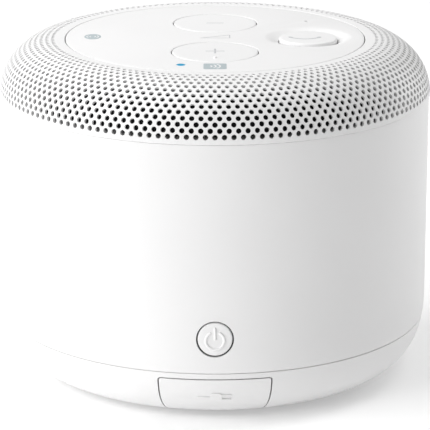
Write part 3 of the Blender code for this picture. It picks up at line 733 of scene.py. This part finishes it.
def make_base():
    """Bottom cup: the opening for the door, the bay behind it, the foot groove and the screw wells."""
    base = turned("base_cup", base_profile(), WHITE)
    bay = bay_walls()
    slot = door_slot()
    screw_circle = 26.5
    post_radius, post_foot, post_top = 3.6, 2.0, 6.6
    head_radius, shank_radius, seat = 2.7, 1.5, 4.6
    low, high = -1, 8
    well = [(0, low), (head_radius, low), (head_radius, seat)]
    well += [(shank_radius, seat), (shank_radius, high), (0, high)]
    posts, wells = [], []
    for number in range(4):
        angle = math.radians(45 + 90 * number)
        spot = (screw_circle * math.cos(angle), screw_circle * math.sin(angle))
        post = disc(f"post_{number}", post_radius, post_foot, post_top, at=spot, steps=SMALL_STEPS)
        posts.append(post)
        wells.append(turned(f"well_{number}", well, at=spot, steps=SMALL_STEPS))
    outside = -46
    low = (-HOLLOW_HALF, outside, HOLLOW_FLOOR)
    hollow = block("hollow", low, (HOLLOW_HALF, HOLLOW_BACK, HOLLOW_CEILING))
    front, back = HOLLOW_BACK - 1, HOLLOW_BACK + 2
    x, z = SOCKET_MIDDLE
    charge = block("charge_cut", (x - 4.2, front, z - 2.0), (x + 4.2, back, z + 1.6))
    jack = disc("jack_cut", 2.7, front, back, at=JACK_PLACE, along_y=True, steps=SMALL_STEPS)
    combine(base, "UNION", bay, *posts)
    combine(base, "DIFFERENCE", slot, hollow, charge, jack, *wells)
    true_normals(base, outline_normals)
    place(base, "housing", "white_plastic", "base_shell")


def make_door():
    """Curved flap that follows the outline of the base, with rounded edges."""
    least_radius = 33.0
    outer = [p for p in corner_profile(DOOR_TOP, 0, 30) if p[0] > least_radius]
    inner = [p for p in corner_profile(DOOR_TOP, DOOR_THICKNESS, 30) if p[0] > least_radius]
    door = turned("door_flap", outer + inner[::-1], WHITE)
    combine(door, "INTERSECT", door_block("door_plan", 0.0))
    true_normals(door, outline_normals)
    place(door, "port_door", "white_plastic", "port_door")


def make_foot():
    """Rubber ring with rounded edges and two fine grooves on its tread."""
    top, corner, depth = 1.1, 0.35, 0.25
    profile = [(FOOT_INNER, top), (FOOT_INNER, corner)]
    profile += arc((FOOT_INNER + corner, corner), (corner, corner), 180, 270, 4)[1:]
    for groove in (25.4, 27.6):
        profile += [(groove - 0.3, 0), (groove - 0.15, depth), (groove + 0.15, depth), (groove + 0.3, 0)]
    profile += arc((FOOT_OUTER - corner, corner), (corner, corner), 270, 360, 4)
    profile += [(FOOT_OUTER, top)]
    foot = turned("foot_pad", profile[::-1], FOOT, steps=MIDDLE_STEPS)
    place(foot, "housing", "foot_rubber", "foot_ring")


# ---------------------------------------------------------------- control panel and buttons

def dish_profile():
    """Dished surround of the call button: steep at the button, easing flat at the rim."""
    inner = CALL_RADIUS + GAP
    points = []
    for share in np.linspace(0, 1, 17):
        radius = inner + (DISH_RADIUS - inner) * share
        points.append((radius, TOP - DISH_DEPTH * (1 - share) ** 1.5))
    return points


def panel_cuts():
    """Shapes to take out of the panel: two button openings, the dish, the light and the microphone."""
    below, above, proud = 62, 70, 0.02
    rim = 0.18
    opening = VOLUME_RADIUS + GAP * 0.6
    shape = [(0, below), (opening, below), (opening, TOP - rim), (opening + rim * 0.3, TOP - rim * 0.3)]
    shape += [(opening + rim, TOP + proud), (opening + rim, above), (0, above)]
    cuts = []
    for side in (-1, 1):
        spot = (0, side * VOLUME_OFFSET)
        cuts.append(turned(f"volume_cut_{side}", shape, at=spot, steps=MIDDLE_STEPS))
    dish = [(0, below), (CALL_RADIUS + GAP, below), *dish_profile()]
    dish += [(DISH_RADIUS + 0.2, TOP + 0.001), (DISH_RADIUS + 0.2, above), (0, above)]
    cuts.append(turned("dish_cut", dish, at=(CALL_X, 0), steps=MIDDLE_STEPS))
    cuts.append(disc("light_cut", 0.9, below, above, at=LED_PLACE, steps=FINE_STEPS))
    cuts.append(disc("microphone_cut", 0.42, below, above, at=MICROPHONE_PLACE, steps=24))
    return cuts


def make_panel():
    """Flat disc with the boss under the call dish, and its openings."""
    low = TOP - 1.8
    profile = [(0, low), (PANEL_RADIUS, low)]
    profile += arc((PANEL_RADIUS - EDGE_ROUND, TOP - EDGE_ROUND), (EDGE_ROUND, EDGE_ROUND), 0, 90, 5)
    panel = turned("panel_disc", profile + [(0, TOP)], WHITE)
    combine(panel, "UNION", disc("call_boss", 9.2, 63.2, 66, at=(CALL_X, 0), steps=BUTTON_STEPS))
    combine(panel, "DIFFERENCE", *panel_cuts())
    smooth(panel, 30)
    place(panel, "housing", "white_plastic", "control_panel")


def cap_profile(radius, edge, flange, flange_foot, crown=0.0):
    """Button cap with a rounded edge, a retaining flange and its stem."""
    flange_top = flange_foot + CAP_FLANGE
    profile = [(0, STEM_FOOT), (STEM_RADIUS, STEM_FOOT), (STEM_RADIUS, flange_foot)]
    profile += [(flange, flange_foot), (flange, flange_top), (radius, flange_top)]
    profile += arc((radius - edge, TOP - edge - crown), (edge, edge), 0, 90, 6)
    profile += [(radius * share, TOP - crown * share**2) for share in (0.85, 0.7, 0.5, 0.3, 0.15)]
    return profile + [(0, TOP)]


def make_caps():
    """The three round buttons of the panel."""
    volume = cap_profile(VOLUME_RADIUS, 0.22, 9.2, 63.9)
    call = cap_profile(CALL_RADIUS, 0.3, 7.0, 61.9, crown=0.08)
    for name, body, profile, at in (
        ("volume_up_cap", "volume_up_button", volume, (0, -VOLUME_OFFSET)),
        ("volume_down_cap", "volume_down_button", volume, (0, VOLUME_OFFSET)),
        ("call_cap", "call_button", call, (CALL_X, 0)),
    ):
        cap = turned(name, profile, WHITE_CAP, at=at, steps=MIDDLE_STEPS)
        place(cap, body, "white_plastic", body)


def on_panel(centre):
    """Where a mark's (across, up, lift) lies on the panel."""
    return lambda u, v, lift: (centre[0] + u, centre[1] + v, TOP + lift)


def on_front(height, radius_at):
    """Where a mark's (across, up, lift) lies on the front of a turned surface."""
    def spot(u, v, lift):
        radius = radius_at(height + v) + lift
        angle = -math.pi / 2 + u / radius_at(height)
        return radius * math.cos(angle), radius * math.sin(angle), height + v
    return spot


def ridge(name, path, width, height, spot, stuff, sink=0.08):
    """A rounded raised line along a path on a surface, with tapered round ends."""
    shoulder, near_top = height * 0.45, height * 0.92
    sections = [(-0.5, -sink), (-0.5, shoulder), (-0.3, near_top), (0, height),
                (0.3, near_top), (0.5, shoulder), (0.5, -sink)]
    path = [Vector(p) for p in path]
    ends = []
    for here, towards in ((path[0], path[1]), (path[-1], path[-2])):
        out = (here - towards).normalized()
        steps = [(math.cos(a), math.sin(a)) for a in np.radians((80, 60, 35))]
        ends.append([(here + out * width / 2 * s, c) for c, s in steps])
    spine = ends[0] + [(p, 1.0) for p in path] + ends[1][::-1]
    rings = []
    for k, (here, share) in enumerate(spine):
        before = spine[max(k - 1, 0)][0]
        after = spine[min(k + 1, len(spine) - 1)][0]
        along = (after - before).normalized()
        across = Vector((-along.y, along.x))
        ring = []
        for offset, lift in sections:
            at = here + across * offset * width * share
            ring.append(spot(at.x, at.y, lift if lift < 0 else lift * (0.3 + 0.7 * share)))
        rings.append(ring)
    return loft(name, rings, stuff, sharp=50)


def plate(name, outline, height, spot, stuff, sink=0.05):
    """A thin flat printed or moulded patch with a given outline."""
    return loft(name, [[spot(u, v, lift) for u, v in outline] for lift in (-sink, height)], stuff)


def curve_points(centre, radius, start, end, count=24):
    """Points on a round arc, angles in degrees."""
    return arc(centre, (radius, radius), start, end, count)


def rounded_box(width, depth, corner, count=6):
    """Outline of a box with round corners about the origin."""
    points = []
    for sx, sy, start in ((1, 1, 0), (-1, 1, 90), (-1, -1, 180), (1, -1, 270)):
        middle = (sx * (width / 2 - corner), sy * (depth / 2 - corner))
        points += curve_points(middle, corner, start, start + 90, count)
    return points


def make_button_signs():
    """Engraved signs of the three buttons and the level wedge, and the raised nib on the plus button."""
    plus = on_panel((0, -VOLUME_OFFSET + 0.5))
    minus = on_panel((0, VOLUME_OFFSET))
    for name, body, spot, path in (
        ("plus_across", "volume_up_button", plus, [(-1.7, 0), (1.7, 0)]),
        ("plus_down", "volume_up_button", plus, [(0, -1.8), (0, 1.8)]),
        ("minus_across", "volume_down_button", minus, [(-1.6, 0), (1.6, 0)]),
    ):
        place(ridge(name, path, 0.42, SIGN_LIFT, spot, LINE), body, "grey_print")
    nib_radius, nib_height, nib_foot = 0.42, 0.3, TOP - 0.1
    profile = [(0, nib_foot), (nib_radius, nib_foot), *arc((0, TOP), (nib_radius, nib_height), 0, 90, 6)]
    nib = turned("plus_nib", profile, WHITE_CAP, at=(0, -18.1), steps=FINE_STEPS)
    place(nib, "volume_up_button", "white_plastic")
    call = on_panel((CALL_X, 0))
    handset = curve_points((-0.7, 1.9), 3.6, 222, 318)
    place(ridge("call_arc", handset, 0.5, SIGN_LIFT, call, LINE), "call_button", "grey_print")
    for letter, side in (("l", -1), ("r", 1)):
        tip = [(side * 2.7 - 0.7, -0.5), (side * 2.95 - 0.7, -0.05)]
        place(ridge(f"call_tip_{letter}", tip, 0.75, SIGN_LIFT, call, LINE), "call_button", "grey_print")
    level = on_panel((0, 0.2))
    wedge = [(-2.9, -1.1), (2.9, -1.1), (2.9, 1.5), (-2.9, -1.1)]
    for number in range(3):
        edge = ridge(f"level_edge_{number}", wedge[number : number + 2], 0.24, SIGN_LIFT, level, LINE)
        place(edge, "housing", "grey_print")


def make_printed_marks():
    """Two grey patches with pale arcs on them: a rounded box by the light, and an oval at the left."""
    wave_lift = 0.06
    tap = on_panel((0, -25.1))
    patch = plate("tap_mark", rounded_box(4.4, 4.5, 0.45), PRINT_LIFT, tap, PRINT)
    place(patch, "housing", "grey_print")
    for number, radius in enumerate((0.7, 1.5, 2.3)):
        wave = curve_points((-1.3, 0), radius, -42, 42, 12)
        place(ridge(f"tap_wave_{number}", wave, 0.32, wave_lift, tap, WHITE_CAP), "housing", "white_plastic")
    link = on_panel((-24.4, 0.2))
    oval = arc((0, 0), (1.67, 2.3), 0, 360, 40)[:-1]
    place(plate("link_mark", oval, PRINT_LIFT, link, PRINT), "housing", "grey_print")
    for number, radius in enumerate((0.55, 1.15)):
        for side in (0, 180):
            wave = curve_points((0, 0), radius, side - 40, side + 40, 10)
            made = ridge(f"link_wave_{number}_{side}", wave, 0.22, wave_lift, link, WHITE_CAP)
            place(made, "housing", "white_plastic")


def make_light():
    """Light pipe of the status light, with a domed end just under the panel's face."""
    foot, rod, head = 60.9, 0.75, 0.82
    flange, flange_foot, flange_top = 1.4, 64.0, 64.9
    profile = [(0, foot), (rod, foot), (rod, flange_foot), (flange, flange_foot), (flange, flange_top)]
    profile += [(head, flange_top), *arc((0, TOP - 0.06), (head, 0.1), 0, 90, 6)]
    pipe = turned("light_pipe", profile, BLUE, at=LED_PLACE, steps=FINE_STEPS)
    place(pipe, "housing", "blue_lens", "led_lens")


def make_power_cap():
    """Power button whose face follows the round of the body, with its raised sign."""
    face_radius = BODY_RADIUS - 0.08
    edge = 0.22
    stem_radius, stem_back, flange, flange_back, flange_front = 1.2, -36.9, 4.4, -39.3, -40.1
    stem = [(stem_radius, stem_back), (stem_radius, flange_back), (flange, flange_back)]
    stem += [(flange, flange_front), (POWER_RADIUS, flange_front)]
    front = arc((POWER_RADIUS - edge, edge), (edge, -edge), 0, 90, 5)
    front += [(POWER_RADIUS * share, 0) for share in (0.75, 0.5, 0.25)]
    angles = np.linspace(0, math.tau, BUTTON_STEPS, endpoint=False)
    points = []
    for radius, y in stem:
        points += [(radius * math.cos(a), y, POWER_Z + radius * math.sin(a)) for a in angles]
    for radius, depth in front:
        for a in angles:
            x = radius * math.cos(a)
            points.append((x, depth - math.sqrt(face_radius**2 - x**2), POWER_Z + radius * math.sin(a)))
    points.append((0, -face_radius, POWER_Z))
    middle = len(points) - 1
    last = middle - BUTTON_STEPS
    faces = [list(range(BUTTON_STEPS))]
    for start in range(0, last, BUTTON_STEPS):
        faces += band(start, BUTTON_STEPS)
    faces += [(last + i, last + (i + 1) % BUTTON_STEPS, middle) for i in range(BUTTON_STEPS)]
    cap = add_mesh("power_cap", points, faces, WHITE_CAP)
    place(cap, "power_button", "white_plastic", "power_button")
    spot = on_front(POWER_Z, lambda height: face_radius)
    ring = curve_points((0, -0.25), 1.75, 122, 418, 48)
    for name, path in (("power_ring", ring), ("power_bar", [(0, 0.1), (0, 2.15)])):
        place(ridge(name, path, 0.5, 0.22, spot, WHITE_CAP), "power_button", "white_plastic")


def make_door_sign():
    """Raised generic plug sign on the door: a cord, a plug body and two pins."""
    spot = on_front(5.8, corner_radius)
    lift = 0.32
    lines = {
        "cord": [(-3.3, 0), (-0.9, 0)],
        "pin_upper": [(1.2, 0.5), (3.0, 0.5)],
        "pin_lower": [(1.2, -0.5), (3.0, -0.5)],
    }
    for name, path in lines.items():
        place(ridge(f"plug_{name}", path, 0.34, lift, spot, WHITE), "port_door", "white_plastic")
    body = [(x + 0.15, y) for x, y in rounded_box(2.3, 1.9, 0.5)]
    place(plate("plug_body", body, lift, spot, WHITE), "port_door", "white_plastic")


# ---------------------------------------------------------------- black rings of painted shade in the gaps, and sockets

def make_gap_shades():
    """Thin black rings down in the gaps round the panel and round each button: painted shade that makes the
    gap lines read dark, not real parts.
    """
    volume = (VOLUME_RADIUS + 0.03, VOLUME_RADIUS + 0.15, 0.3)
    for name, (inner, outer, depth), at in (
        ("panel_gap_shade", (PANEL_RADIUS + 0.02, LIP_RADIUS - 0.02, 0.3), (0, 0)),
        ("volume_up_gap_shade", volume, (0, -VOLUME_OFFSET)),
        ("volume_down_gap_shade", volume, (0, VOLUME_OFFSET)),
        ("call_gap_shade", (CALL_RADIUS + 0.05, CALL_RADIUS + 0.25, 1.5), (CALL_X, 0)),
    ):
        high, low = TOP - depth, TOP - depth - 0.4
        profile = [(inner, low), (outer, low), (outer, high), (inner, high)]
        place(turned(name, profile, BLACK, at=at, steps=MIDDLE_STEPS), "housing", "black_plastic")
    # Black ring in the gap round the power button: painted shade that darkens the gap line, not a real part.
    inner, outer = POWER_RADIUS + 0.05, POWER_RADIUS + GAP - 0.03
    front, back = -BODY_RADIUS + 0.5, -BODY_RADIUS + 1.1
    profile = [(inner, front), (outer, front), (outer, back), (inner, back)]
    gap_shade = turned("power_gap_shade", profile, BLACK, at=(0, POWER_Z), along_y=True, steps=BUTTON_STEPS)
    place(gap_shade, "housing", "black_plastic")


def make_charge_socket():
    """Plated socket shell with round corners, its black tongue and the contacts on it."""
    shell = front_prism("charge_shell", rounded_box(7.6, 2.6, 1.0), -31.5, -25.5, PLATED, at=SOCKET_MIDDLE)
    mouth = front_prism("charge_mouth", rounded_box(6.9, 1.9, 0.75), -34, -26.2, at=SOCKET_MIDDLE)
    combine(shell, "DIFFERENCE", mouth)
    shell.data.set_sharp_from_angle(angle=math.radians(40))
    place(shell, "housing", "plated_steel", "charge_socket")
    x, z = SOCKET_MIDDLE
    half_width, half_height = 2.2, 0.3
    low = (x - half_width, -30.9, z - half_height)
    high = (x + half_width, -26.1, z + half_height)
    place(block("charge_tongue", low, high, BLACK), "housing", "black_plastic")
    for number in range(5):
        left = x - 1.7 + 0.75 * number
        low, high = (left, -30.7, z + 0.28), (left + 0.4, -27, z + 0.36)
        place(block(f"charge_contact_{number}", low, high, PLATED), "housing", "plated_steel")


def make_audio_jack():
    """Headset jack: a black body with a round nose, a plated collar in its mouth and a deep bore."""
    where = {"at": JACK_PLACE, "along_y": True, "steps": SMALL_STEPS}
    body = block("jack_body", (2.0, -29.2, 5.6), (8.4, -19, 10.2), BLACK)
    nose = [(0, -28), (2.5, -28), (2.5, -31.4), (2.3, -31.6), (0, -31.6)]
    combine(body, "UNION", turned("jack_nose", nose, **where))
    bore = [(0, -33), (2.05, -33), (2.05, -31.1), (1.8, -31.1), (1.8, -20), (0, -20)]
    combine(body, "DIFFERENCE", turned("jack_bore", bore, **where))
    smooth(body, 35)
    place(body, "housing", "black_plastic", "audio_jack")
    collar = [(1.82, -31.13), (2.03, -31.13), (2.03, -31.55), (1.82, -31.4)]
    place(turned("jack_collar", collar, PLATED, **where), "housing", "plated_steel")


# ---------------------------------------------------------------- stage

def area_light(name, at, target, size, power):
    """A rectangular white light at one point, turned towards another, in metres and watts."""
    data = bpy.data.lights.new(name, "AREA")
    data.shape = "RECTANGLE"
    data.size, data.size_y = size
    data.energy = power
    light = bpy.data.objects.new(name, data)
    light.location = at
    light.rotation_euler = (Vector(target) - Vector(at)).to_track_quat("-Z", "Y").to_euler()
    bpy.context.scene.collection.objects.link(light)


def make_world(scene):
    """White surroundings, which light the object less than they show to the camera."""
    world = bpy.data.worlds.new("white_room")
    scene.world = world
    world.use_nodes = True
    tree = world.node_tree
    background = tree.nodes["Background"]
    background.inputs["Color"].default_value = (1, 1, 1, 1)
    path = tree.nodes.new("ShaderNodeLightPath")
    strength = tree.nodes.new("ShaderNodeMapRange")
    strength.inputs["To Min"].default_value = 0.25
    strength.inputs["To Max"].default_value = 1.0
    tree.links.new(path.outputs["Is Camera Ray"], strength.inputs["Value"])
    tree.links.new(strength.outputs["Result"], background.inputs["Strength"])


def make_floor():
    """Plain pale floor with a little even light of its own, so that it looks as white as paper."""
    paint = surface("pale_floor", (0.93, 0.93, 0.93), 0.6, vary=0.002, bump=0.0)
    shader = paint.node_tree.nodes["Principled BSDF"]
    shader.inputs["Emission Color"].default_value = (1, 1, 1, 1)
    shader.inputs["Emission Strength"].default_value = FLOOR_GLOW
    half, level = 3000, -0.05
    corners = [(-half, -half, level), (half, -half, level), (half, half, level), (-half, half, level)]
    add_mesh("floor", corners, [(0, 1, 2, 3)], paint)


def make_stage():
    """Pale floor, soft studio light from the left, white surroundings and the camera."""
    scene = bpy.context.scene
    scene.view_settings.view_transform = "Standard"
    make_floor()
    make_world(scene)
    middle = (0, 0, 0.035)
    panel_edge = (-0.03, 0.01, 0.065)
    area_light("key_left", (-2.04, -1.08, 1.2), middle, (2.0, 2.0), 54.0)
    area_light("top_left", (-0.20, 0.12, 0.34), panel_edge, (0.16, 0.16), 0.53)
    area_light("top_soft", (-0.3, 0.1, 2.2), middle, (1.8, 1.8), 9.5)
    area_light("top_right", (0.9, 0.3, 2.0), middle, (0.8, 0.8), 7.5)
    area_light("rim_right", (1.7, 1.3, 0.7), middle, (1.0, 1.2), 12.0)
    camera_data = bpy.data.cameras.new("photo_camera")
    camera_data.sensor_width = 36.0
    camera_data.lens = CAMERA_LENS
    camera = bpy.data.objects.new("photo_camera", camera_data)
    camera.location = (0, -CAMERA_AWAY * MM, (TOP + CAMERA_ABOVE_TOP) * MM)
    camera.rotation_euler = (math.radians(90 - CAMERA_PITCH), 0, 0)
    scene.collection.objects.link(camera)
    scene.camera = camera


def main():
    make_stage()
    dress_cad_nodes()
    make_grille()
    make_scrim()
    make_body()
    make_base()
    make_door()
    make_door_sign()
    make_charge_socket()
    make_audio_jack()
    make_foot()
    make_panel()
    make_caps()
    make_button_signs()
    make_printed_marks()
    make_light()
    make_power_cap()
    make_gap_shades()


main()
bpy.context.view_layer.update()
